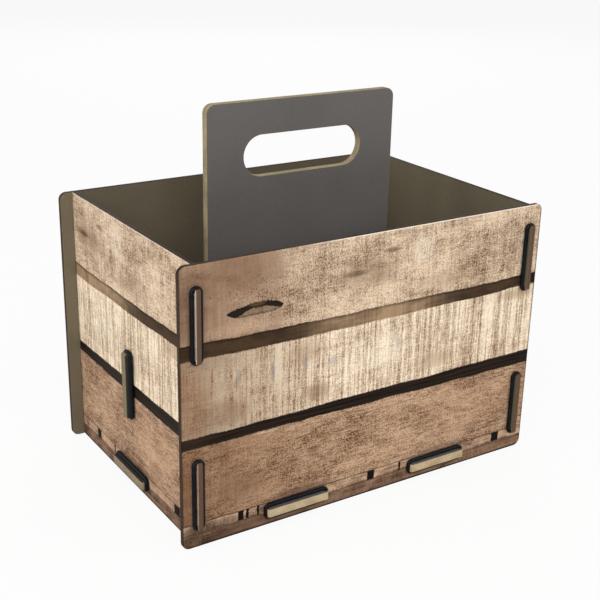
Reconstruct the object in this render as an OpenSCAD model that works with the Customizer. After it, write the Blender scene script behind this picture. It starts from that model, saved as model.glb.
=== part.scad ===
// Slot-together bottle carrier with six compartments.
// Thin printed fibreboard walls carry a thicker floor and handle board on through tabs,
// and a rubber ring seated in the grooves of each tab holds the boards together.
// The origin is on the ground below the middle, with the long front wall facing -Y.

/* [Walls] */
// Length of the front and back walls
wall_l = 301; // [250:1:420]
// Height of all four walls
wall_h = 200; // [165:1:260]
// Depth over the outer faces of the front and back walls
case_d = 195; // [150:1:260]
// Thickness of the walls and of the dividers
wall_t = 3; // [2:0.5:4]
// Rounding of the front and back walls' corners
wall_r = 5.5; // [1:0.5:12]
// How far the front and back walls run past each end wall
wing = 10; // [8:0.5:16]

/* [Tabs and rings] */
// Length of every tab
tab_l = 50; // [36:1:56]
// How far every tab stands out of the wall that it passes through
tab_out = 5.5; // [5:0.5:8]
// Rounding of the tabs' outer corners
tab_r = 1.5; // [0.5:0.25:2]
// Distance of the corner tabs from the walls' top and bottom edges
tab_inset = 15; // [8:0.5:22]
// Thickness of the rubber rings' round cord
cord_d = 3; // [2:0.25:3.25]
// Depth of the groove for the ring at each end of a tab
groove_depth = 2.5; // [2:0.25:3.5]
// Clearance between boards that pass each other, and round a ring
fit = 0.15; // [0.05:0.05:0.3]

/* [Floor] */
// Thickness of the floor and of the handle board
board_t = 6; // [4:0.5:9]
// Height of the floor's underside above the ground
floor_z = 8.5; // [7:0.5:14]
// Distance of the front and back floor tabs from the middle
floor_tab_x = 62; // [45:0.5:80]

/* [Handle board] */
// Height of the handle's top edge above the ground
handle_top = 276; // [262:1:330]
// Width of the handle
handle_w = 159; // [130:1:190]
// Rounding of the handle's top corners
handle_r = 6.5; // [2:0.5:9]
// Length of the hand hole
grip_l = 100; // [85:1:115]
// Height of the hand hole
grip_h = 30; // [24:1:36]
// Height of the bar above the hand hole
grip_bar = 24.5; // [16:0.5:32]
// Height of the shoulders that reach out to the end walls
shoulder_z = 120; // [117:1:140]
// Rounding where the handle rises from the shoulders
shoulder_r = 12; // [4:1:20]
// Height of the handle board's tabs above the ground
handle_tab_z = 56; // [30:0.5:58]

/* [Dividers] */
// Height of the cross dividers' top edge above the ground
divider_top = 120; // [80:1:140]
// Rounding of the dividers' top corners
divider_r = 5.5; // [1:0.5:15]

/* [Printed planks] */
// Thickness of the printed skin on the walls' outer faces
print_t = 0.2; // [0.1:0.1:0.5]
// Height of the dark strip along the planks' foot
foot_h = 9.5; // [4:0.5:10]
// Height of the pale batten above that strip
batten_h = 8; // [6:0.5:14]
// Height of the lower gap between planks above the ground
low_gap_z = 73; // [50:0.5:90]
// Height of the upper gap between planks above the ground
high_gap_z = 136.5; // [110:0.5:145]
// Width of a gap between planks
gap_w = 9; // [3:0.5:14]
// Length of the knot in the long walls' upper plank
knot_l = 42; // [20:1:60]
// Height of that knot
knot_h = 9; // [4:0.5:12]
// Slant of that knot in degrees
knot_slant = 0; // [0:1:20]

/* [Hidden] */
$fn = 48;

// Overlap that joins a shape to its board or carries a cut past an edge
lap = 2;

// Faces of the walls, as distances from the middle
end_out = wall_l / 2 - wing;
end_in = end_out - wall_t;
side_out = case_d / 2;
side_in = side_out - wall_t;

// Places of the tabs and of what carries them
corner_tab_x = end_out - wall_t / 2;
high_tab_z = wall_h - tab_inset - tab_l;
floor_top = floor_z + board_t;

// The cord lies on the wall, in a groove with a round bottom at each end of the tab
cord_r = cord_d / 2;
cord_out = cord_r + fit;
groove_r = cord_r + fit;
groove_floor = tab_l / 2 - groove_depth;

// Two dividers share the length between the end walls out in three equal bays
bay_w = (2 * end_in - 2 * wall_t) / 3;
divider_x = (bay_w + wall_t) / 2;
lap_z = (floor_top + divider_top) / 2;

// Printed marks along the batten, each as its middle and its width
long_marks = [
    [-106, 4.4], [-100.8, 2.4], [-92.5, 1.8], [3.3, 6.4], [29.5, 1.8], [123.4, 7.2]
];
end_marks = [[-62.8, 6.8], [-33.8, 2.2], [70, 8.6]];

// Middle of the knot, from the wall's middle and from its top edge
knot_x = -96;
knot_drop = 37.5;

// Colours of the boards, of the rings, and of the printed fields from the ground up
laminate_grey = "#4a4540";
board_grey = "#6b6765";
divider_grey = "#57524b";
rubber_black = "#1c1b1c";
mark_brown = "#2a1c14";
plank_tones = ["#6b5240", "#a58466", "#916c50", "#35241a", "#bfa27d", "#5c4534", "#a98767"];

// Each wall's turn and the distance of its outer face from the middle
front = [0, side_out];
back = [180, side_out];
left_end = [-90, end_out];
right_end = [90, end_out];

// Each ring's wall, the middle of its tab across and up that wall, the tab's thickness
// and whether the tab stands upright
corner_low_z = tab_inset + tab_l / 2;
corner_high_z = high_tab_z + tab_l / 2;
floor_mid_z = floor_z + board_t / 2;
handle_mid_z = handle_tab_z + tab_l / 2;
RINGS = [
    ["ring_front_left_low", front, [-corner_tab_x, corner_low_z], wall_t, true],
    ["ring_front_left_high", front, [-corner_tab_x, corner_high_z], wall_t, true],
    ["ring_front_right_low", front, [corner_tab_x, corner_low_z], wall_t, true],
    ["ring_front_right_high", front, [corner_tab_x, corner_high_z], wall_t, true],
    ["ring_front_floor_left", front, [-floor_tab_x, floor_mid_z], board_t, false],
    ["ring_front_floor_right", front, [floor_tab_x, floor_mid_z], board_t, false],
    ["ring_back_left_low", back, [corner_tab_x, corner_low_z], wall_t, true],
    ["ring_back_left_high", back, [corner_tab_x, corner_high_z], wall_t, true],
    ["ring_back_right_low", back, [-corner_tab_x, corner_low_z], wall_t, true],
    ["ring_back_right_high", back, [-corner_tab_x, corner_high_z], wall_t, true],
    ["ring_back_floor_left", back, [floor_tab_x, floor_mid_z], board_t, false],
    ["ring_back_floor_right", back, [-floor_tab_x, floor_mid_z], board_t, false],
    ["ring_left_end_floor", left_end, [0, floor_mid_z], board_t, false],
    ["ring_left_end_handle", left_end, [0, handle_mid_z], board_t, true],
    ["ring_right_end_floor", right_end, [0, floor_mid_z], board_t, false],
    ["ring_right_end_handle", right_end, [0, handle_mid_z], board_t, true]
];

// Rectangle with rounded corners that stands on y = 0
module rounded_plate(w, h, r) {
    translate([-w / 2, r]) square([w, h - 2 * r]);
    translate([r - w / 2, 0]) square([w - 2 * r, h]);
    for (x = [r - w / 2, w / 2 - r], y = [r, h - r])
        translate([x, y]) circle(r);
}

// Rectangle that stands on y = 0 with only its top corners rounded
module round_topped(w, h, r) {
    rounded_plate(w, h, r);
    translate([-w / 2, 0]) square([w, h - r]);
}

// Level opening with round ends, centred
module stadium(l, w) {
    square([l - w, w], center = true);
    for (side = [-1, 1])
        translate([side * (l - w) / 2, 0]) circle(w / 2);
}

// Slot for a tab of one thickness, centred and lying level
module tab_slot(thick) {
    square([tab_l + 2 * fit, thick + 2 * fit], center = true);
}

module upright_slot(thick) {
    rotate(90) tab_slot(thick);
}

// Tab centred on the x axis that starts at x = edge, passes a wall whose outer face is
// at x = face, and has a groove for its ring at each side
module side_tab(edge, face) {
    root = edge - lap;
    reach = face + tab_out;
    difference() {
        union() {
            translate([(root + reach) / 2, -tab_l / 2])
                rounded_plate(reach - root, tab_l, tab_r);
            translate([root, -tab_l / 2]) square([reach - root - tab_r, tab_l]);
        }
        for (side = [0, 1])
            mirror([0, side])
                translate([face + cord_out, groove_floor]) {
                    translate([0, groove_r]) circle(groove_r);
                    translate([-groove_r, groove_r])
                        square([2 * groove_r, groove_depth - groove_r + lap]);
                }
    }
}

// Fills the inner corner at the origin, between level and upright edges
module corner_fillet(r) {
    difference() {
        translate([-lap, -lap]) square(r + lap);
        translate([r, r]) circle(r);
    }
}

module long_outline() {
    difference() {
        rounded_plate(wall_l, wall_h, wall_r);
        for (side = [-1, 1]) {
            for (z = [corner_low_z, corner_high_z])
                translate([side * corner_tab_x, z]) upright_slot(wall_t);
            translate([side * floor_tab_x, floor_mid_z]) tab_slot(board_t);
        }
    }
}

module end_outline() {
    difference() {
        union() {
            translate([-side_in, 0]) square([2 * side_in, wall_h]);
            for (side = [0, 1], z = [corner_low_z, corner_high_z])
                mirror([side, 0]) translate([0, z]) side_tab(side_in, side_out);
        }
        translate([0, handle_mid_z]) upright_slot(board_t);
        translate([0, floor_mid_z]) tab_slot(board_t);
    }
}

module floor_outline() {
    half_l = end_in - fit;
    half_d = side_in - fit;
    square([2 * half_l, 2 * half_d], center = true);
    for (turn = [0, 180])
        rotate(turn) {
            side_tab(half_l, end_out);
            for (x = [-1, 1] * floor_tab_x)
                translate([x, 0]) rotate(90) side_tab(half_d, side_out);
        }
}

module handle_outline() {
    shoulder_l = end_in - fit;
    difference() {
        union() {
            translate([0, floor_top]) {
                round_topped(2 * shoulder_l, shoulder_z - floor_top, handle_r);
                round_topped(handle_w, handle_top - floor_top, handle_r);
            }
            for (side = [0, 1])
                mirror([side, 0]) {
                    translate([handle_w / 2, shoulder_z]) corner_fillet(shoulder_r);
                    translate([0, handle_mid_z]) side_tab(shoulder_l, end_out);
                }
        }
        translate([0, handle_top - grip_bar - grip_h / 2]) stadium(grip_l, grip_h);
        // Notches that drop over the dividers
        for (x = [-1, 1] * divider_x)
            translate([x - wall_t / 2 - fit, floor_top - lap])
                square([wall_t + 2 * fit, lap_z + fit - floor_top + lap]);
    }
}

module divider_outline() {
    difference() {
        translate([0, floor_top])
            round_topped(2 * (side_in - fit), divider_top - floor_top, divider_r);
        // Notch that takes the handle board
        translate([-board_t / 2 - fit, lap_z])
            square([board_t + 2 * fit, divider_top - lap_z + lap]);
    }
}

// Field of the print between two heights
module plank_field(half_l, low, high) {
    translate([-half_l, low]) square([2 * half_l, high - low]);
}

module batten_marks(marks) {
    for (mark = marks)
        translate([mark[0] - mark[1] / 2, foot_h + 1]) square([mark[1], batten_h - 1]);
}

// Pointed oval where two large circles cross
module knot_shape() {
    arc_r = (knot_l * knot_l + knot_h * knot_h) / (4 * knot_h);
    translate([knot_x, wall_h - knot_drop])
        rotate(knot_slant)
            intersection_for(side = [-1, 1])
                translate([0, side * (arc_r - knot_h / 2)]) circle(arc_r);
}

// Board with a plain inner face and the planks printed on its outer face.
// The first child is the board's outline and the second the dark marks of the print.
module printed_board(half_l) {
    lines = [
        0,
        foot_h,
        foot_h + batten_h,
        low_gap_z,
        low_gap_z + gap_w,
        high_gap_z,
        high_gap_z + gap_w,
        wall_h
    ];
    color(laminate_grey) linear_extrude(wall_t - print_t) children(0);
    translate([0, 0, wall_t - print_t]) {
        for (i = [0 : len(plank_tones) - 1])
            color(plank_tones[i])
                linear_extrude(print_t)
                    difference() {
                        intersection() {
                            children(0);
                            plank_field(half_l, lines[i], lines[i + 1]);
                        }
                        children(1);
                    }
        color(mark_brown)
            linear_extrude(print_t)
                intersection() {
                    children(0);
                    children(1);
                }
    }
}

module long_wall() {
    printed_board(wall_l / 2) {
        long_outline();
        union() {
            batten_marks(long_marks);
            knot_shape();
        }
    }
}

module end_wall() {
    printed_board(side_out + tab_out) {
        end_outline();
        batten_marks(end_marks);
    }
}

// Stands a wall up with its outer face at its distance from the middle
module stand(wall) {
    rotate([0, 0, wall[0]])
        translate([0, wall_t - wall[1], 0])
            rotate([90, 0, 0]) children();
}

module divider(x) {
    color(divider_grey)
        translate([x - wall_t / 2, 0, 0])
            rotate([90, 0, 90]) linear_extrude(wall_t) divider_outline();
}

// Ring stretched round a tab, centred on z = 0. Its bends touch the corners of the
// grooves' bottoms, and over a thick tab's ends it runs straight between them.
module rubber_ring(thick) {
    inner_r = wall_t / 2 + fit;
    bend_r = inner_r + cord_r;
    half_l = groove_floor + fit - sqrt(inner_r * inner_r - wall_t * wall_t / 4);
    half_w = (thick - wall_t) / 2;
    color(rubber_black)
        for (turn = [0, 180])
            rotate(turn) {
                translate([-half_l, half_w + bend_r, 0])
                    rotate([0, 90, 0]) cylinder(h = 2 * half_l, r = cord_r);
                for (start = [-90, 0])
                    translate([half_l, start < 0 ? -half_w : half_w, 0])
                        rotate(start)
                            rotate_extrude(angle = 90) translate([bend_r, 0]) circle(cord_r);
                if (half_w > 0)
                    translate([half_l + bend_r, -half_w, 0])
                        rotate([-90, 0, 0]) cylinder(h = 2 * half_w, r = cord_r);
            }
}

// A ring at its tab, lying on the outer face of its wall
module tab_ring(ring) {
    stand(ring[1])
        translate([ring[2][0], ring[2][1], wall_t + cord_out])
            rotate(ring[4] ? 90 : 0) rubber_ring(ring[3]);
}

module front_panel() {
    stand(front) long_wall();
}

module back_panel() {
    stand(back) long_wall();
}

module left_end_panel() {
    stand(left_end) end_wall();
}

module right_end_panel() {
    stand(right_end) end_wall();
}

module floor_panel() {
    color(board_grey)
        translate([0, 0, floor_z]) linear_extrude(board_t) floor_outline();
}

module handle_panel() {
    color(board_grey)
        translate([0, board_t / 2, 0])
            rotate([90, 0, 0]) linear_extrude(board_t) handle_outline();
}

module left_divider() {
    divider(-divider_x);
}

module right_divider() {
    divider(divider_x);
}

front_panel();
back_panel();
left_end_panel();
right_end_panel();
floor_panel();
handle_panel();
left_divider();
right_divider();
for (ring = RINGS)
    tab_ring(ring);
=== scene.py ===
"""Looks of a slot-together bottle carrier with plank-printed walls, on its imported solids.

Each board is a merged copy of its solid with eased edges and a material for each of its
faces. Each rubber ring is a merged, smooth copy. All sizes in the finishes are in mm.
"""

import logging
import math
from collections.abc import Callable, Sequence
from dataclasses import dataclass, field
from enum import Enum

import bmesh
import bpy
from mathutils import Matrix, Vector

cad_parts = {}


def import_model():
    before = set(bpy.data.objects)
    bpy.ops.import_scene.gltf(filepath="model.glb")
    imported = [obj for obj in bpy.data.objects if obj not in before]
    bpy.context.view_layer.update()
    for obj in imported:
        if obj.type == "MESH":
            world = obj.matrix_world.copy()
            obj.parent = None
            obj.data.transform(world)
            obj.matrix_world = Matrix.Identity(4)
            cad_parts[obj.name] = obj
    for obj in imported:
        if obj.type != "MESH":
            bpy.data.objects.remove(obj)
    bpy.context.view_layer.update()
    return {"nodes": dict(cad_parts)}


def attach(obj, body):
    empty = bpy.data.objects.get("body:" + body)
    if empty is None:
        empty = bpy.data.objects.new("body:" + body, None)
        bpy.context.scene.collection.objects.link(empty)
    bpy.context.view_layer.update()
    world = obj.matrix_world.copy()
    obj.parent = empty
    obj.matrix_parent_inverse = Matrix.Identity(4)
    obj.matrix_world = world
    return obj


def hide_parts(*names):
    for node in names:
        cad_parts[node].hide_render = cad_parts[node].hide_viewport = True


LOG = logging.getLogger("bottle_carrier")
MM = 0.001
# Outer faces of the long walls and of the end walls, in mm from the carrier's middle
LONG_FACE = 97.5
END_FACE = 140.5
# Half the long walls' length and half the end walls' length over their tabs, in mm
HALF_LENGTH = 150.5
HALF_DEPTH = 103.0
# Height of the walls' top edges above the ground, in mm
WALL_TOP = 200.0
Colour = tuple[float, float, float, float]
Feed = bpy.types.NodeSocket | float | str | Sequence[float]


def linear(hex_colour: str) -> Colour:
    """Turn an sRGB hex colour into linear light.

    Args:
        hex_colour: The colour as "#rrggbb".

    Returns:
        Red, green, blue and an alpha of 1.
    """
    parts = [int(hex_colour[i : i + 2], 16) / 255 for i in (1, 3, 5)]
    light = [p / 12.92 if p <= 0.04045 else ((p + 0.055) / 1.055) ** 2.4 for p in parts]
    return light[0], light[1], light[2], 1.0


class Wall(Enum):
    """The carrier's walls, each with the turn in degrees that lays its outer face
    along X as seen from outside."""

    FRONT = 0
    BACK = 180
    LEFT_END = 90
    RIGHT_END = -90


class Surface(Enum):
    """The kinds of face that a sawn board has, as material slots of its piece."""

    OUTER = 0
    INNER = 1
    EDGE = 2


class Graph:
    """A material's node tree, laid on a piece in millimetres."""

    def __init__(self, name: str, turn: float = 0.0, shift: float = 0.0) -> None:
        """Start an empty material.

        Args:
            name: The material's name.
            turn: Turn about Z in degrees from the piece to the pattern.
            shift: How far along X the piece lies in the pattern, in mm.
        """
        self.material = bpy.data.materials.new(name)
        self.material.use_nodes = True
        self.tree = self.material.node_tree
        self.tree.nodes.clear()
        found = self.add("TexCoord", {}, out="Object")
        self.place = self.add(
            "Mapping",
            {
                "Vector": found,
                "Location": (shift, 0.0, 0.0),
                "Rotation": (0.0, 0.0, math.radians(turn)),
                "Scale": (1 / MM, 1 / MM, 1 / MM),
            },
        )

    def add(
        self, kind: str, feeds: dict[int | str, Feed], out: int | str = 0, **settings: object
    ) -> bpy.types.NodeSocket | None:
        """Add a node with its settings and links.

        Args:
            kind: The node's type, without its ShaderNode prefix.
            feeds: Input to the socket or value that feeds it. A string is a hex colour.
            out: The output that is wanted.
            **settings: The node's own properties.

        Returns:
            The output asked for, or None from a node that has none.
        """
        node = self.tree.nodes.new("ShaderNode" + kind)
        for name, value in settings.items():
            setattr(node, name, value)
        for key, feed in feeds.items():
            if isinstance(feed, bpy.types.NodeSocket):
                self.tree.links.new(feed, node.inputs[key])
            else:
                value = linear(feed) if isinstance(feed, str) else feed
                node.inputs[key].default_value = value
        return node.outputs[out] if node.outputs else None

    def grain(
        self, along: float, up: float, seed: float = 0.0, detail: float = 2.0
    ) -> bpy.types.NodeSocket:
        """Make a noise of grains of a real size.

        Args:
            along: Length of a grain along X, in mm.
            up: Length of a grain along Z, in mm.
            seed: Shift that gives another noise of the same grain.
            detail: Octaves of the noise.

        Returns:
            A factor from 0 to 1.
        """
        size = min(along, up)
        place = self.add(
            "Mapping",
            {
                "Vector": self.place,
                "Location": (seed, 1.7 * seed, 0.6 * seed),
                "Scale": (1 / along, 1 / size, 1 / up),
            },
        )
        noise = self.add("TexNoise", {"Vector": place, "Scale": 1.0, "Detail": detail})
        return self.add(
            "MapRange",
            {"Value": noise, "From Min": 0.34, "From Max": 0.66},
            interpolation_type="SMOOTHSTEP",
        )

    def weigh(
        self, start: float, parts: Sequence[tuple[bpy.types.NodeSocket, float]]
    ) -> bpy.types.NodeSocket:
        """Add weighted factors to a level that they vary evenly about.

        Args:
            start: The level.
            parts: Each factor from 0 to 1 with its weight.

        Returns:
            The sum.
        """
        level: Feed = start - sum(weight for _, weight in parts) / 2
        for factor, weight in parts:
            level = self.add("Math", {0: factor, 1: weight, 2: level}, operation="MULTIPLY_ADD")
        return level

    def above(self, value: Feed, line: Feed, soft: float) -> bpy.types.NodeSocket:
        """Make a mask that rises from 0 to 1 where a value passes a line.

        Args:
            value: The value, in mm.
            line: The line, in mm.
            soft: Half the width of the rise, in mm.

        Returns:
            The mask.
        """
        height = self.add("Math", {0: value, 1: line}, operation="SUBTRACT")
        return self.add(
            "MapRange",
            {"Value": height, "From Min": -soft, "From Max": soft},
            interpolation_type="SMOOTHSTEP",
        )

    def band(self, value: Feed, low: Feed, high: Feed, soft: float) -> bpy.types.NodeSocket:
        """Make a mask that is 1 between two lines.

        Args:
            value: The value, in mm.
            low: The lower line, in mm.
            high: The upper line, in mm.
            soft: Half the width of each edge, in mm.

        Returns:
            The mask.
        """
        inside = self.above(value, low, soft)
        outside = self.above(value, high, soft)
        return self.add("Math", {0: inside, 1: outside}, operation="SUBTRACT", use_clamp=True)

    def oval(self, spot: "Spot") -> bpy.types.NodeSocket:
        """Make a mask of a soft oval.

        Args:
            spot: Its middle, half sizes and softness.

        Returns:
            The mask, 1 in the middle and 0 outside.
        """
        place = self.add(
            "Mapping",
            {
                "Vector": self.place,
                "Location": (-spot.u / spot.half_l, 0.0, -spot.v / spot.half_h),
                "Scale": (1 / spot.half_l, 0.0, 1 / spot.half_h),
            },
        )
        away = self.add("VectorMath", {0: place}, out="Value", operation="LENGTH")
        return self.add(
            "MapRange",
            {"Value": away, "From Min": 1 - spot.soft, "From Max": 1.0, "To Min": 1.0,
             "To Max": 0.0},
            interpolation_type="SMOOTHSTEP",
        )

    def both(self, *masks: Feed) -> bpy.types.NodeSocket:
        """Multiply masks or factors.

        Args:
            *masks: Two or more of them.

        Returns:
            Their product.
        """
        product = masks[0]
        for mask in masks[1:]:
            product = self.add("Math", {0: product, 1: mask}, operation="MULTIPLY")
        return product

    def layer(self, under: Feed, over: Feed, mask: Feed, strength: float = 1.0) -> Feed:
        """Lay one colour over another.

        Args:
            under: The colour below.
            over: The colour on top.
            mask: Where the top colour covers.
            strength: How much of the top colour shows there.

        Returns:
            The mixed colour.
        """
        cover = self.add("Math", {0: mask, 1: strength}, operation="MULTIPLY", use_clamp=True)
        return self.add("Mix", {0: cover, 6: under, 7: over}, out=2, data_type="RGBA")

    def finish(
        self,
        colour: Feed,
        roughness: Feed,
        relief: Feed | None = None,
        depth: float = 0.0,
        specular: float = 0.2,
    ) -> bpy.types.Material:
        """Close the tree with its shader.

        Args:
            colour: The base colour.
            roughness: The roughness.
            relief: Height of the relief from 0 to 1, if there is one.
            depth: The relief's full height in mm.
            specular: Level of the dielectric reflection.

        Returns:
            The finished material.
        """
        feeds: dict[int | str, Feed] = {
            "Base Color": colour,
            "Roughness": roughness,
            "Specular IOR Level": specular,
        }
        if relief is not None:
            feeds["Normal"] = self.add(
                "Bump", {"Height": relief, "Distance": depth * MM, "Strength": 1.0}
            )
        shader = self.add("BsdfPrincipled", feeds)
        self.add("OutputMaterial", {"Surface": shader})
        return self.material


@dataclass(frozen=True)
class Plank:
    """Tones of one printed plank, and how strongly its marks show."""

    pale: str
    deep: str
    level: float
    mottle: float
    patch: float
    saw: float
    streak: float
    pores: float
    torn: float
    dots: float


@dataclass(frozen=True)
class Spot:
    """A soft oval in the print: its middle, half sizes, tone and cover.

    The tone and the cover are left out where it only serves as a mask.
    """

    u: float
    v: float
    half_l: float
    half_h: float
    tone: str = "#000000"
    cover: float = 1.0
    soft: float = 0.7


@dataclass(frozen=True)
class Knot:
    """A split knot in a plank, as a pointed oval: its middle, half sizes and tones."""

    u: float
    v: float
    half_l: float
    half_h: float
    bare_deep: str = "#574433"
    bare_pale: str = "#8c7763"
    bridge: str = "#57462c"


# Heights of a plank's edge at the left end, the middle and the right end of a long wall
Edge = tuple[float, float, float]


@dataclass(frozen=True)
class PlankPrint:
    """Paper printed with worn softwood crate planks, pressed on hard fibreboard.

    It is a flat print under a matt varnish, so the grain is all colour and the surface
    has only the faint tooth of the paper. The end walls carry the right-hand part of the
    long walls' print, so their pattern is shifted along.
    """

    wall: Wall
    marks: tuple[tuple[float, float], ...]
    half_l: float
    shift: float = 0.0
    knots: tuple[Knot, ...] = ()
    stains_and_painted_light: tuple[Spot, ...] = ()
    soot: tuple[Spot, ...] = ()
    tabs: bool = False
    low_gap: tuple[Edge, Edge] = ((74.0, 73.3, 72.2), (81.6, 82.0, 82.9))
    high_gap: tuple[Edge, Edge] = ((136.1, 135.2, 137.6), (147.2, 145.3, 146.1))
    batten: tuple[float, float] = (10.0, 17.4)
    top_plank: Plank = Plank(
        "#e8cfb2", "#6e4f38", level=0.57, mottle=0.32, patch=0.20, saw=0.22, streak=0.08,
        pores=0.20, torn=0.22, dots=0.54,
    )
    middle_plank: Plank = Plank(
        "#fae7cc", "#7f5b3b", level=0.61, mottle=0.20, patch=0.12, saw=0.62, streak=0.08,
        pores=0.12, torn=0.32, dots=0.44,
    )
    low_plank: Plank = Plank(
        "#cba98a", "#5b3822", level=0.54, mottle=0.30, patch=0.16, saw=0.08, streak=0.20,
        pores=0.36, torn=0.08, dots=0.60,
    )
    batten_plank: Plank = Plank(
        "#cdab8e", "#5f4434", level=0.56, mottle=0.16, patch=0.50, saw=0.14, streak=0.20,
        pores=0.30, torn=0.10, dots=0.40,
    )
    gap_pale: str = "#a78a6c"
    gap_deep: str = "#463424"
    black: str = "#0d0704"
    foot_pale: str = "#92705a"
    foot_deep: str = "#3a281d"
    end_brown: str = "#684224"
    old_brown: str = "#94705a"
    # Painted highlight on the end walls' side tabs
    tab_highlight: str = "#d2c0b0"
    # Painted highlight along the top edge: its tone and its cover
    top_edge_highlight: str = "#f8efe0"
    top_edge_highlight_cover: float = 0.85

    def material(self) -> bpy.types.Material:
        """Build the print.

        Returns:
            The material.
        """
        name = f"printed_fibreboard_{self.wall.name.lower()}"
        g = Graph(name, self.wall.value, self.shift)
        u = g.add("SeparateXYZ", {"Vector": g.place}, out="X")
        v = g.add("SeparateXYZ", {"Vector": g.place}, out="Z")
        wall_u = g.add("Math", {0: u, 1: self.shift}, operation="SUBTRACT")
        # Clouds of tone, 45 mm long and 22 mm high, and worn patches of 12 by 8 mm
        mottle = g.grain(45, 22, 3)
        patch = g.grain(12, 8, 25, 4.0)
        # Upright marks of a frame saw, 1.8 mm apart, and their bundles of 7 mm
        saw_fine = g.grain(1.8, 110, 11, 1.0)
        saw_wide = g.grain(7, 200, 5, 1.0)
        saw = g.weigh(0.5, [(saw_fine, 0.68), (saw_wide, 0.32)])
        # Growth lines along the plank, 1.6 mm apart
        streak = g.grain(60, 1.6, 7)
        # Pores 6 mm long, torn fibres 9 mm high, and a speckle 1 mm across to show
        pores = g.grain(6, 1.1, 13, 3.0)
        torn = g.grain(1.1, 9, 15, 3.0)
        dots = g.grain(1.0, 1.0, 21, 2.0)
        speck = g.weigh(0.5, [(pores, 0.24), (torn, 0.34), (dots, 0.42)])
        marks = {
            "mottle": mottle, "patch": patch, "saw": saw, "streak": streak, "pores": pores,
            "torn": torn, "dots": dots,
        }
        wobble = g.grain(34, 34, 17)
        fray = g.grain(1.8, 1.8, 19)

        fields = [
            self._plank(g, plank, marks)
            for plank in (self.low_plank, self.middle_plank, self.top_plank, self.batten_plank)
        ]
        low_edge, low_top = [self._edge(g, u, line, wobble, fray) for line in self.low_gap]
        high_edge, high_top = [self._edge(g, u, line, wobble, fray) for line in self.high_gap]
        colour = g.layer(fields[0], fields[1], g.above(v, low_edge, 0.4))
        colour = g.layer(colour, fields[2], g.above(v, high_edge, 0.4))
        patchy = g.weigh(0.78, [(mottle, 0.4), (streak, 0.2), (speck, 0.8), (saw, 0.6)])
        colour = self._weathering(g, colour, u, v, high_edge, patchy)
        # Stains, with a painted sheen and painted shade among them
        for spot_mark in self.stains_and_painted_light:
            colour = self._lay_spot(g, colour, spot_mark, speck)
        # Painted highlight along the top edge, apart from the browned left end
        rim = g.both(g.above(v, WALL_TOP - 0.9, 0.3), g.above(u, -40.0, 40.0))
        colour = g.layer(colour, self.top_edge_highlight, rim, self.top_edge_highlight_cover)

        # The upper gap opens to lighter wood in its middle, and has a shadow along its top
        open_part = g.oval(Spot(4, 141, 80, 90, soft=0.75))
        open_part = g.both(open_part, g.weigh(0.9, [(saw, 0.4)]))
        tone = g.layer(self.gap_deep, self.gap_pale, open_part)
        tone = g.layer(tone, self.black, g.weigh(0.3, [(streak, 0.3), (patch, 0.8)]), 0.55)
        shade = g.add("Math", {0: high_top, 1: 1.6}, operation="SUBTRACT")
        tone = g.layer(tone, self.black, g.above(v, shade, 0.9), 0.55)
        colour = g.layer(colour, tone, g.band(v, high_edge, high_top, 0.4))
        # The lower one is nearly black, and a little lighter at the left end
        near_end = g.oval(Spot(-152, 78, 34, 40, soft=0.8))
        tone = g.layer(self.black, self.gap_deep, g.weigh(0.16, [(streak, 0.3)]))
        tone = g.layer(tone, self.gap_deep, near_end, 0.3)
        colour = g.layer(colour, tone, g.band(v, low_edge, low_top, 0.4))

        worn = g.weigh(0.5, [(streak, 0.5), (speck, 0.6), (patch, 0.4)])
        colour = self._batten(g, colour, v, fields[3], wobble, fray, worn)
        for spot_mark in self.soot:
            colour = self._lay_spot(g, colour, spot_mark, speck)
        colour = self._slits(g, colour, wall_u, v, fray)
        for knot in self.knots:
            colour = self._knot(g, colour, u, v, wobble, fray, speck, knot)
        # Painted highlight on the side tabs' strips, most on the upper ones, and soot along the
        # outline
        off = g.add("Math", {0: wall_u}, operation="ABSOLUTE")
        if self.tabs:
            lit_strip = g.both(g.above(off, LONG_FACE, 0.4), g.above(v, 60.0, 120.0))
            colour = g.layer(colour, self.tab_highlight, lit_strip, 0.75)
        colour = g.layer(colour, self.black, g.above(off, self.half_l - 0.9, 0.5), 0.8)
        colour = g.layer(colour, self.black, g.above(1.3, v, 0.7), 0.9)
        # The varnish is matt, and the specks of the paper break it up a little
        roughness = g.weigh(0.60, [(speck, 0.10)])
        return g.finish(colour, roughness, speck, 0.015, specular=0.08)

    def _plank(self, g: Graph, plank: Plank, marks: dict[str, Feed]) -> Feed:
        """Colour one plank from the shared marks.

        Args:
            g: The material's graph.
            plank: The plank's tones and how strongly each mark shows.
            marks: The marks by name.

        Returns:
            The plank's colour.
        """
        parts = [(mark, getattr(plank, name)) for name, mark in marks.items()]
        return g.layer(plank.deep, plank.pale, g.weigh(plank.level, parts))

    def _edge(self, g: Graph, u: Feed, line: Edge, wobble: Feed, fray: Feed) -> Feed:
        """Bend a plank's edge through its three heights and roughen it a little.

        Args:
            g: The material's graph.
            u: Place along the pattern.
            line: The edge's heights.
            wobble: Slow noise.
            fray: Fine noise.

        Returns:
            The edge's height at each place.
        """
        left, middle, right = line
        reach = 150.0
        part = g.add("Math", {0: u, 1: 1 / reach}, operation="MULTIPLY")
        slope = g.add(
            "Math", {0: part, 1: (left + right) / 2 - middle, 2: (right - left) / 2},
            operation="MULTIPLY_ADD",
        )
        level = g.add("Math", {0: part, 1: slope, 2: middle}, operation="MULTIPLY_ADD")
        rough = g.weigh(0.0, [(wobble, 0.9), (fray, 0.35)])
        return g.add("Math", {0: level, 1: rough}, operation="ADD")

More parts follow.
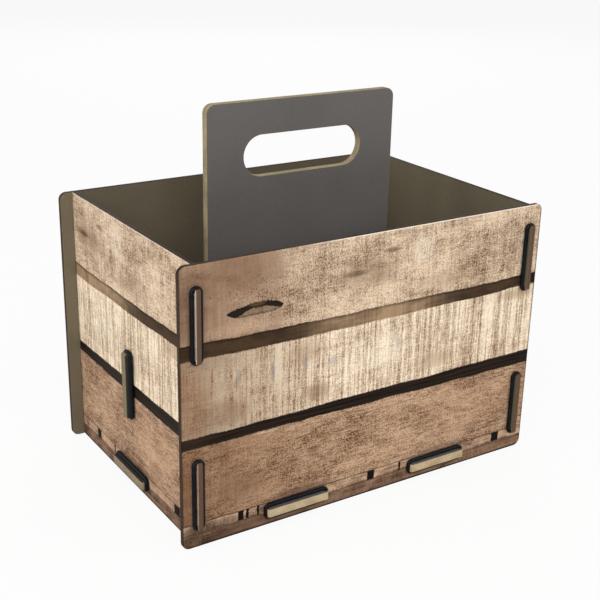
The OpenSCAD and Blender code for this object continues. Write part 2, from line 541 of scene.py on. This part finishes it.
    def _weathering(
        self,
        g: Graph,
        colour: Feed,
        u: Feed,
        v: Feed,
        high_edge: Feed,
        patchy: Feed,
    ) -> Feed:
        """Brown the planks' left ends, the top one's most and with a clear edge.

        Args:
            g: The material's graph.
            colour: The colour so far.
            u: Place along the pattern.
            v: Height on the wall.
            high_edge: Height of the middle plank's upper edge.
            patchy: Noise that breaks the brown up.

        Returns:
            The weathered colour.
        """
        slow = g.add(
            "MapRange",
            {"Value": u, "From Min": -160.0, "From Max": -20.0, "To Min": 1.0, "To Max": 0.0},
            interpolation_type="SMOOTHSTEP",
        )
        colour = g.layer(colour, self.end_brown, g.both(slow, patchy), 0.66)
        old_end = g.both(g.above(-76.0, u, 3.0), g.above(v, high_edge, 0.5), patchy)
        return g.layer(colour, self.old_brown, old_end, 0.40)

    def _lay_spot(self, g: Graph, colour: Feed, spot_mark: Spot, speck: Feed) -> Feed:
        """Lay a spot with a broken outline on the print: a stain, soot, a painted sheen or
        painted shade.

        Args:
            g: The material's graph.
            colour: The colour so far.
            spot_mark: The spot.
            speck: Noise that breaks it up.

        Returns:
            The colour with the stain.
        """
        broken = g.both(g.oval(spot_mark), g.weigh(0.8, [(speck, 1.3)]))
        return g.layer(colour, spot_mark.tone, broken, spot_mark.cover)

    def _batten(
        self,
        g: Graph,
        colour: Feed,
        v: Feed,
        field_tone: Feed,
        wobble: Feed,
        fray: Feed,
        worn: Feed,
    ) -> Feed:
        """Draw the batten along the foot, and the dark foot under it.

        Args:
            g: The material's graph.
            colour: The colour so far.
            v: Height on the wall.
            field_tone: The batten's colour.
            wobble: Slow noise.
            fray: Fine noise.
            worn: Wear of the dark foot.

        Returns:
            The colour with the batten and the foot.
        """
        foot_line, top_line = self.batten
        foot = g.weigh(foot_line, [(wobble, 2.2), (fray, 0.9)])
        top = g.weigh(top_line, [(wobble, 0.7), (fray, 0.2)])
        colour = g.layer(colour, field_tone, g.above(top, v, 0.3))
        away = g.add("Math", {0: v, 1: top}, operation="SUBTRACT")
        off = g.add("Math", {0: away}, operation="ABSOLUTE")
        colour = g.layer(colour, self.black, g.above(0.35, off, 0.35), 0.8)
        tone = g.layer(self.foot_deep, self.foot_pale, worn)
        colour = g.layer(colour, tone, g.above(foot, v, 0.8), 0.9)
        lip = g.add("Math", {0: v, 1: foot}, operation="SUBTRACT")
        lip_off = g.add("Math", {0: lip}, operation="ABSOLUTE")
        return g.layer(colour, self.black, g.both(g.above(0.7, lip_off, 0.7), worn), 0.9)

    def _slits(self, g: Graph, colour: Feed, u: Feed, v: Feed, fray: Feed) -> Feed:
        """Draw the black slits and holes between the batten's blocks.

        Args:
            g: The material's graph.
            colour: The colour so far.
            u: Place along the wall.
            v: Height on the wall.
            fray: Fine noise.

        Returns:
            The colour with the slits.
        """
        block = g.band(v, self.batten[0], self.batten[1], 0.5)
        for middle_u, width in self.marks:
            side = g.weigh(middle_u, [(fray, 0.5)])
            near = g.add("Math", {0: u, 1: side}, operation="SUBTRACT")
            off = g.add("Math", {0: near}, operation="ABSOLUTE")
            slit = g.above(width / 2, off, 0.35)
            colour = g.layer(colour, self.black, g.both(slit, block), 1.0)
        return colour

    def _knot(
        self,
        g: Graph,
        colour: Feed,
        u: Feed,
        v: Feed,
        wobble: Feed,
        fray: Feed,
        speck: Feed,
        knot: Knot,
    ) -> Feed:
        """Draw a split knot: a pointed oval, black above and grey-brown below.

        Args:
            g: The material's graph.
            colour: The colour so far.
            u: Place along the pattern.
            v: Height on the wall.
            wobble: Slow noise that bends the outline.
            fray: Fine noise that frays the outline.
            speck: Noise that mottles the bare wood.
            knot: The knot.

        Returns:
            The colour with the knot.
        """
        along = g.add("Math", {0: u, 1: knot.u}, operation="SUBTRACT")
        lean = g.weigh(knot.v, [(wobble, 1.5)])
        away = g.add("Math", {0: v, 1: lean}, operation="SUBTRACT")
        part = g.add("Math", {0: along, 1: knot.half_l}, operation="DIVIDE")
        square = g.add("Math", {0: part, 1: part}, operation="MULTIPLY")
        taper = g.add("Math", {0: 1.0, 1: square}, operation="SUBTRACT")
        inside = g.add("Math", {0: taper, 1: 0.0}, operation="MAXIMUM")
        blunt = g.add("Math", {0: inside, 1: 0.48}, operation="POWER")
        heavy = g.weigh(knot.half_h, [(fray, 0.7)])
        swell = g.add("Math", {0: part, 1: 0.5, 2: heavy}, operation="MULTIPLY_ADD")
        reach = g.add("Math", {0: blunt, 1: swell, 2: -0.5}, operation="MULTIPLY_ADD")
        off = g.add("Math", {0: away}, operation="ABSOLUTE")
        hollow = g.above(reach, off, 0.4)
        bare = g.layer(knot.bare_deep, knot.bare_pale, speck)
        colour = g.layer(colour, bare, hollow, 0.7)
        inner = g.add("Math", {0: reach, 1: 0.8}, operation="SUBTRACT")
        rim = g.above(off, inner, 0.5)
        # The split narrows over the middle, where brown wood still bridges it
        bridge = g.oval(Spot(knot.u + 1.5, knot.v + 3.7, 8, 2.4, soft=0.5))
        floor_line = g.weigh(0.7, [(fray, 0.6), (wobble, 1.0)])
        tipped = g.add("Math", {0: part, 1: -0.7, 2: floor_line}, operation="MULTIPLY_ADD")
        shifted = g.add("Math", {0: part, 1: 0.25}, operation="SUBTRACT")
        bend = g.add("Math", {0: shifted, 1: shifted}, operation="MULTIPLY")
        line = g.add("Math", {0: bend, 1: -4.4, 2: tipped}, operation="MULTIPLY_ADD")
        split = g.above(away, line, 0.4)
        colour = g.layer(colour, self.black, g.both(hollow, rim), 0.6)
        colour = g.layer(colour, self.black, g.both(hollow, split), 0.95)
        return g.layer(colour, knot.bridge, g.both(hollow, bridge), 0.75)


@dataclass(frozen=True)
class Tips:
    """The tone of a board's tabs where they stand out of the walls, painted shade on the
    floor's and handle's tabs.

    It holds the axis that they point along, how far out they start in mm, the tone and
    its cover.
    """

    axis: str
    start: float
    tone: str
    cover: float

    def lay(self, g: Graph, colour: Feed) -> Feed:
        """Lay the tone on the tabs.

        Args:
            g: The material's graph.
            colour: The board's colour.

        Returns:
            The colour with its tips.
        """
        out = g.add("SeparateXYZ", {"Vector": g.place}, out=self.axis)
        off = g.add("Math", {0: out}, operation="ABSOLUTE")
        return g.layer(colour, self.tone, g.above(off, self.start, 0.3), self.cover)


@dataclass(frozen=True)
class Laminate:
    """Matt melamine paper on a board's face: one dull tone, faintly clouded."""

    name: str
    pale: str
    deep: str
    roughness: float = 0.52
    tips: Tips | None = None

    def material(self) -> bpy.types.Material:
        """Build the laminate.

        Returns:
            The material.
        """
        g = Graph(self.name)
        # Faint clouds of tone 70 mm across, and the paper's fibres, 1.5 mm across to show
        tone = g.weigh(0.5, [(g.grain(70, 70, 2), 0.25), (g.grain(1.5, 1.5, 4, 1.0), 0.22)])
        colour = g.layer(self.deep, self.pale, tone)
        # Painted shade on the tabs, where tips are given
        if self.tips is not None:
            colour = self.tips.lay(g, colour)
        fibres = g.grain(0.8, 0.8, 9)
        return g.finish(colour, g.weigh(self.roughness, [(fibres, 0.1)]), fibres, 0.02)


@dataclass(frozen=True)
class SawnFibreboard:
    """A sawn or laser-cut edge of fibreboard: felted fibres, dull and a little rough."""

    name: str
    pale: str
    deep: str
    level: float = 0.5
    tips: Tips | None = None

    def material(self) -> bpy.types.Material:
        """Build the edge.

        Returns:
            The material.
        """
        g = Graph(self.name)
        # Fibres 0.9 mm long, and patches of 12 mm where the cut is browner
        fibres = g.grain(0.9, 0.9, 6)
        tone = g.weigh(self.level, [(fibres, 0.5), (g.grain(12, 12, 8), 0.5)])
        colour = g.layer(self.deep, self.pale, tone)
        # The tips' tone: painted shade on the floor's and handle's tabs
        if self.tips is not None:
            colour = self.tips.lay(g, colour)
        return g.finish(colour, 0.8, fibres, 0.06)


@dataclass(frozen=True)
class MouldedRubber:
    """Black nitrile rubber cord as it leaves the mould: satin, with a dusty bloom."""

    black: str = "#07080b"
    bloom: str = "#16191f"

    def material(self) -> bpy.types.Material:
        """Build the rubber.

        Returns:
            The material.
        """
        g = Graph("moulded_rubber")
        # Bloom in patches of 4 mm, and a skin as fine as 0.5 mm
        bloom = g.grain(4, 4, 12)
        skin = g.grain(0.5, 0.5, 14)
        colour = g.layer(self.black, self.bloom, bloom, 0.6)
        return g.finish(colour, g.weigh(0.42, [(bloom, 0.16)]), skin, 0.02, specular=0.12)


@dataclass
class Board:
    """One board of the carrier, as an eased copy of its solid."""

    node: str
    slot: str
    finishes: dict[Surface, bpy.types.Material]
    facing: Callable[[Vector], Surface]
    ease: float = 0.22 * MM

    def build(self, solid: bpy.types.Object) -> bpy.types.Object:
        """Copy the solid, ease its edges and dress its faces.

        Args:
            solid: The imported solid.

        Returns:
            The finished piece, riding on the carrier.
        """
        mesh = bmesh.new()
        mesh.from_mesh(solid.data)
        bmesh.ops.remove_doubles(mesh, verts=mesh.verts, dist=0.002 * MM)
        bmesh.ops.dissolve_limit(
            mesh, angle_limit=math.radians(0.5), verts=mesh.verts, edges=mesh.edges
        )
        for face in mesh.faces:
            kind = self.facing(face.normal)
            face.material_index = kind.value
            face.smooth = kind is Surface.EDGE
        corners = [
            edge
            for edge in mesh.edges
            if len(edge.link_faces) == 2 and edge.calc_face_angle() > math.radians(40)
        ]
        made = bmesh.ops.bevel(
            mesh,
            geom=corners,
            offset=self.ease,
            offset_type="OFFSET",
            segments=2,
            profile=0.5,
            affect="EDGES",
            clamp_overlap=True,
            material=-1,
        )
        for face in made["faces"]:
            face.material_index = Surface.EDGE.value
            face.smooth = True
        piece = piece_from(mesh, "board_" + self.node, [self.finishes[s] for s in Surface])
        return settle(piece, self.node)


@dataclass
class Ring:
    """One rubber ring, as a smooth copy of its solid."""

    node: str
    finish: bpy.types.Material

    def build(self, solid: bpy.types.Object) -> bpy.types.Object:
        """Copy the solid and smooth it.

        Args:
            solid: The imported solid.

        Returns:
            The finished piece, riding on the carrier.
        """
        mesh = bmesh.new()
        mesh.from_mesh(solid.data)
        bmesh.ops.remove_doubles(mesh, verts=mesh.verts, dist=0.002 * MM)
        for face in mesh.faces:
            face.smooth = True
        piece = piece_from(mesh, "cord_" + self.node, [self.finish])
        return settle(piece, self.node)


def piece_from(
    mesh: bmesh.types.BMesh, name: str, finishes: Sequence[bpy.types.Material]
) -> bpy.types.Object:
    """Make an object of a mesh, at the origin.

    Args:
        mesh: The mesh, which is freed.
        name: The object's name.
        finishes: Its materials, in slot order.

    Returns:
        The object.
    """
    data = bpy.data.meshes.new(name)
    mesh.to_mesh(data)
    mesh.free()
    for finish in finishes:
        data.materials.append(finish)
    piece = bpy.data.objects.new(name, data)
    bpy.context.scene.collection.objects.link(piece)
    return piece


def settle(piece: bpy.types.Object, node: str) -> bpy.types.Object:
    """Let a piece ride on the carrier and stand for its solid.

    Args:
        piece: The piece.
        node: The solid that it stands for.

    Returns:
        The piece.
    """
    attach(piece, "root")
    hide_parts(node)
    LOG.info("%s: %d faces", piece.name, len(piece.data.polygons))
    return piece


@dataclass
class PrintedWalls:
    """The four thin walls, printed outside and plain inside."""

    long_marks: tuple[tuple[float, float], ...] = (
        (-106.0, 4.4), (-100.8, 2.4), (-92.5, 1.8), (3.3, 6.4), (29.5, 1.8), (123.4, 7.2),
    )
    end_marks: tuple[tuple[float, float], ...] = ((-62.8, 6.8), (-33.8, 2.2), (70.0, 8.6))
    end_shift: float = 59.2
    knots: tuple[Knot, ...] = (Knot(-95.6, 162.7, 21.2, 4.7),)
    # Stains in the print, with a painted sheen and painted shade among them
    stains_and_painted_light: tuple[Spot, ...] = (
        # Top plank: a deep left end, a shaded patch with two brown knots, and a painted sheen
        Spot(-142, 172, 22, 34, "#5e4232", 0.5),
        Spot(-106, 190, 44, 20, "#6d4c37", 0.5),
        Spot(-108, 152, 34, 7, "#c9aa8c", 0.4),
        Spot(-6, 172, 34, 14, "#84674d", 0.42),
        Spot(-17, 173, 14, 3.2, "#47311f", 0.8),
        Spot(13, 185.5, 9, 2.8, "#47311f", 0.7),
        # Painted sheen: a pale patch on the top plank
        Spot(40, 182, 15, 17, "#ecdcc4", 0.5),
        Spot(66, 156, 34, 9, "#8a6c53", 0.32),
        # Middle plank: brown along its lower left, and blue stains in the saw marks
        Spot(-146, 108, 24, 40, "#7b4f2b", 0.6),
        Spot(-122, 94, 34, 15, "#7d5b42", 0.55),
        Spot(-46, 93, 15, 9, "#74532f", 0.55),
        Spot(-56, 124, 20, 12, "#8d6a49", 0.4),
        Spot(58, 94, 24, 9, "#91704f", 0.45),
        Spot(132, 132, 24, 7, "#91704f", 0.5),
        Spot(10, 112, 26, 18, "#fbeed8", 0.35),
        Spot(-108, 116, 2.2, 9, "#7c8088", 0.5),
        Spot(-82, 117, 2.4, 9, "#7c8088", 0.55),
        Spot(-56, 115, 2.4, 10, "#7c8088", 0.55),
        Spot(-34, 113, 6, 5, "#9a9da3", 0.4),
        Spot(22, 115, 2.2, 8, "#8b8f96", 0.45),
        # Low plank: faint knots, a pale scratched edge, and shade over the floor tabs
        Spot(-48, 47, 8, 8, "#5e4130", 0.4),
        Spot(-104, 36, 24, 12, "#6b4a37", 0.35),
        Spot(97, 30, 15, 6, "#5e4130", 0.42),
        Spot(-86, 72.6, 13, 1.1, "#d3bda1", 0.7),
        Spot(-55, 19, 34, 5, "#4b362c", 0.5),
        Spot(70, 19, 30, 4.5, "#4b362c", 0.45),
        Spot(95, 48, 60, 26, "#d0a988", 0.35),
    )
    # The end walls' batten is paler
    end_batten: tuple[Spot, ...] = (Spot(62, 13.7, 130, 5, "#c9a283", 0.45),)
    soot: tuple[Spot, ...] = (
        # Soot in the upper gap, on the batten and on the foot, whose right part is worn
        # pale, and small black splits at the right end
        Spot(148, 141.5, 8, 6, "#0e0906", 0.9, 0.4),
        Spot(-136, 12.5, 20, 6, "#2c1f18", 0.75),
        Spot(-117, 13, 14, 4.8, "#3a281f", 0.65),
        Spot(-86, 14, 8, 4, "#4b362c", 0.5),
        Spot(-100, 4, 70, 7, "#2c1f18", 0.4),
        Spot(118, 4.5, 50, 5, "#b08b6d", 0.35),
        Spot(15, 13, 7, 3.5, "#5d4536", 0.4),
        Spot(138, 8, 12, 3, "#4b362c", 0.45),
        Spot(149.5, 26, 4.5, 0.8, "#0e0906", 0.95, 0.4),
        Spot(149.5, 15.5, 4.5, 0.8, "#0e0906", 0.95, 0.4),
        Spot(149.5, 9.0, 4.5, 0.8, "#0e0906", 0.95, 0.4),
    )
    outward: dict[Wall, Vector] = field(
        default_factory=lambda: {
            Wall.FRONT: Vector((0, -1, 0)),
            Wall.BACK: Vector((0, 1, 0)),
            Wall.LEFT_END: Vector((-1, 0, 0)),
            Wall.RIGHT_END: Vector((1, 0, 0)),
        }
    )

    def build(self, solids: dict[str, bpy.types.Object]) -> None:
        """Build the four walls.

        Args:
            solids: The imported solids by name.
        """
        inner = Laminate("olive_melamine_paper", "#786e5b", "#625947").material()
        bare = Tips("Y", LONG_FACE, "#634b3b", 0.8)
        edge = SawnFibreboard(
            "laser_cut_hard_fibreboard", "#413026", "#1d1510", tips=bare
        ).material()
        for wall, node in (
            (Wall.FRONT, "front_panel"),
            (Wall.BACK, "back_panel"),
            (Wall.LEFT_END, "left_end_panel"),
            (Wall.RIGHT_END, "right_end_panel"),
        ):
            finishes = {
                Surface.OUTER: self._print(wall).material(),
                Surface.INNER: inner,
                Surface.EDGE: edge,
            }
            board = Board(node, "printed_board", finishes, self._facing(wall))
            board.build(solids[node])

    def _print(self, wall: Wall) -> PlankPrint:
        """Choose a wall's print.

        Args:
            wall: The wall.

        Returns:
            The print.
        """
        if wall in (Wall.FRONT, Wall.BACK):
            return PlankPrint(
                wall, self.long_marks, HALF_LENGTH, knots=self.knots, stains_and_painted_light=self.stains_and_painted_light,
                soot=self.soot,
            )
        return PlankPrint(
            wall, self.end_marks, HALF_DEPTH, self.end_shift, stains_and_painted_light=self.stains_and_painted_light,
            # The end walls get the painted tab highlight and a fainter painted top-edge
            # highlight
            soot=self.end_batten, tabs=True, top_edge_highlight_cover=0.4,
        )

    def _facing(self, wall: Wall) -> Callable[[Vector], Surface]:
        """Say which face of a wall looks where.

        Args:
            wall: The wall.

        Returns:
            A function from a face's normal to its kind.
        """
        outward = self.outward[wall]

        def kind(normal: Vector) -> Surface:
            """Tell a face's kind by how it looks along the wall's outward direction."""
            along = normal.dot(outward)
            if along > 0.9:
                return Surface.OUTER
            return Surface.INNER if along < -0.9 else Surface.EDGE

        return kind


@dataclass
class InnerBoards:
    """The floor, the handle board and the two cross dividers."""

    def build(self, solids: dict[str, bpy.types.Object]) -> None:
        """Build the inner boards.

        Args:
            solids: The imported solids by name.
        """
        # Painted shade on the floor's and handle's tabs beyond the end walls: near black on
        # their grey faces, darker on their cut edges
        shaded_tab_faces = Tips("X", END_FACE, "#1c1b1a", 0.8)
        shaded_tab_edges = Tips("X", END_FACE, "#5c5546", 0.6)
        grey = Laminate("grey_melamine_paper", "#6b6664", "#585553", tips=shaded_tab_faces).material()
        khaki = SawnFibreboard(
            "sawn_medium_fibreboard", "#c8b493", "#a59472", tips=shaded_tab_edges
        ).material()
        # Painted shade: the handle's cut edges are a darker copy of the floor's khaki
        # fibreboard
        shaded_khaki = SawnFibreboard(
            "shaded_medium_fibreboard", "#a89975", "#85775a", tips=shaded_tab_edges
        ).material()
        brown = Laminate("brown_melamine_paper", "#6a6253", "#4c463a").material()
        dark = SawnFibreboard("laser_cut_divider_edge", "#5d4636", "#2e2119").material()
        for node, slot, axis, face, edge in (
            ("floor_panel", "grey_board", Vector((0, 0, 1)), grey, khaki),
            ("handle_panel", "grey_board", Vector((0, 1, 0)), grey, shaded_khaki),
            ("left_divider", "divider_board", Vector((1, 0, 0)), brown, dark),
            ("right_divider", "divider_board", Vector((1, 0, 0)), brown, dark),
        ):
            finishes = {Surface.OUTER: face, Surface.INNER: face, Surface.EDGE: edge}
            Board(node, slot, finishes, self._facing(axis)).build(solids[node])

    def _facing(self, axis: Vector) -> Callable[[Vector], Surface]:
        """Say which faces of a board are its broad ones.

        Args:
            axis: The direction through the board.

        Returns:
            A function from a face's normal to its kind.
        """

        def kind(normal: Vector) -> Surface:
            """Tell a broad face from a cut edge."""
            return Surface.OUTER if abs(normal.dot(axis)) > 0.9 else Surface.EDGE

        return kind


@dataclass
class RubberRings:
    """The rings that hold the boards together, one round each tab."""

    def build(self, solids: dict[str, bpy.types.Object]) -> None:
        """Build every ring.

        Args:
            solids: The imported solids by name.
        """
        rubber = MouldedRubber().material()
        for node in sorted(name for name in solids if name.startswith("ring_")):
            Ring(node, rubber).build(solids[node])


@dataclass
class Studio:
    """A pale floor, soft lamps and the camera."""

    camera_place: tuple[float, float, float] = (-0.43897, -0.67716, 0.42318)
    camera_turn: tuple[float, float, float] = (69.353, -1.171, -32.618)
    lens: float = 67.6
    fill: float = 0.40

    def build(self) -> None:
        """Build the stage, the lamps and the camera."""
        self._floor()
        self._world()
        self._lamp("key", (-0.9, -1.6, 1.4), 1.6, 27.0)
        self._lamp("side", (-1.9, 0.2, 1.0), 1.4, 14.5)
        self._lamp("right", (1.6, -1.3, 1.1), 1.4, 10.0)
        self._lamp("back", (1.1, 1.9, 1.2), 1.5, 12.0)
        self._camera()
        bpy.context.scene.view_settings.view_transform = "Standard"

    def _floor(self) -> None:
        """Lay a plain pale floor."""
        g = Graph("painted_studio_floor")
        # The eye sees it nearly white, with a faint shadow. Other rays see matt paint.
        seen = g.add("LightPath", {}, out="Is Camera Ray")
        share = g.add("Math", {0: seen, 1: 0.9}, operation="MULTIPLY")
        paint = g.add("BsdfDiffuse", {"Color": "#f2f2f0"})
        white = g.add("Emission", {"Color": "#ffffff", "Strength": 1.0})
        mixed = g.add("MixShader", {0: share, 1: paint, 2: white})
        g.add("OutputMaterial", {"Surface": mixed})
        mesh = bmesh.new()
        bmesh.ops.create_grid(mesh, x_segments=1, y_segments=1, size=6.0)
        floor = piece_from(mesh, "studio_floor", [g.material])

    def _world(self) -> None:
        """Light the scene evenly, and show white behind it."""
        world = bpy.data.worlds.new("soft_white_studio")
        bpy.context.scene.world = world
        world.use_nodes = True
        nodes = world.node_tree.nodes
        links = world.node_tree.links
        nodes.clear()
        path = nodes.new("ShaderNodeLightPath")
        seen = path.outputs["Is Camera Ray"]
        for ray in ("Is Glossy Ray", "Is Transmission Ray"):
            either = nodes.new("ShaderNodeMath")
            either.operation = "MAXIMUM"
            links.new(seen, either.inputs[0])
            links.new(path.outputs[ray], either.inputs[1])
            seen = either.outputs[0]
        strength = nodes.new("ShaderNodeMapRange")
        links.new(seen, strength.inputs["Value"])
        strength.inputs["To Min"].default_value = self.fill
        strength.inputs["To Max"].default_value = 1.0
        sky = nodes.new("ShaderNodeBackground")
        sky.inputs["Color"].default_value = (1.0, 1.0, 1.0, 1.0)
        links.new(strength.outputs[0], sky.inputs["Strength"])
        output = nodes.new("ShaderNodeOutputWorld")
        links.new(sky.outputs[0], output.inputs["Surface"])

    def _lamp(
        self, name: str, place: tuple[float, float, float], size: float, watts: float
    ) -> None:
        """Hang a softbox that looks at the carrier.

        Args:
            name: Its name.
            place: Where it hangs.
            size: Its width.
            watts: Its power.
        """
        data = bpy.data.lights.new(name, "AREA")
        data.shape = "SQUARE"
        data.size = size
        data.energy = watts
        lamp = bpy.data.objects.new(name, data)
        lamp.location = place
        way = Vector((0, 0, 0.1)) - Vector(place)
        lamp.rotation_euler = way.to_track_quat("-Z", "Y").to_euler()
        bpy.context.scene.collection.objects.link(lamp)

    def _camera(self) -> None:
        """Set the camera at the photograph's angle."""
        data = bpy.data.cameras.new("camera")
        data.lens = self.lens
        data.sensor_width = 36.0
        camera = bpy.data.objects.new("camera", data)
        camera.location = self.camera_place
        camera.rotation_euler = [math.radians(a) for a in self.camera_turn]
        bpy.context.scene.collection.objects.link(camera)
        bpy.context.scene.camera = camera


def main() -> None:
    """Build the carrier's looks and the studio round it."""
    logging.basicConfig(level=logging.INFO, format="%(name)s: %(message)s")
    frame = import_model()
    solids = frame["nodes"]
    PrintedWalls().build(solids)
    InnerBoards().build(solids)
    RubberRings().build(solids)
    Studio().build()
    bpy.context.view_layer.update()


if __name__ == "__main__":
    main()
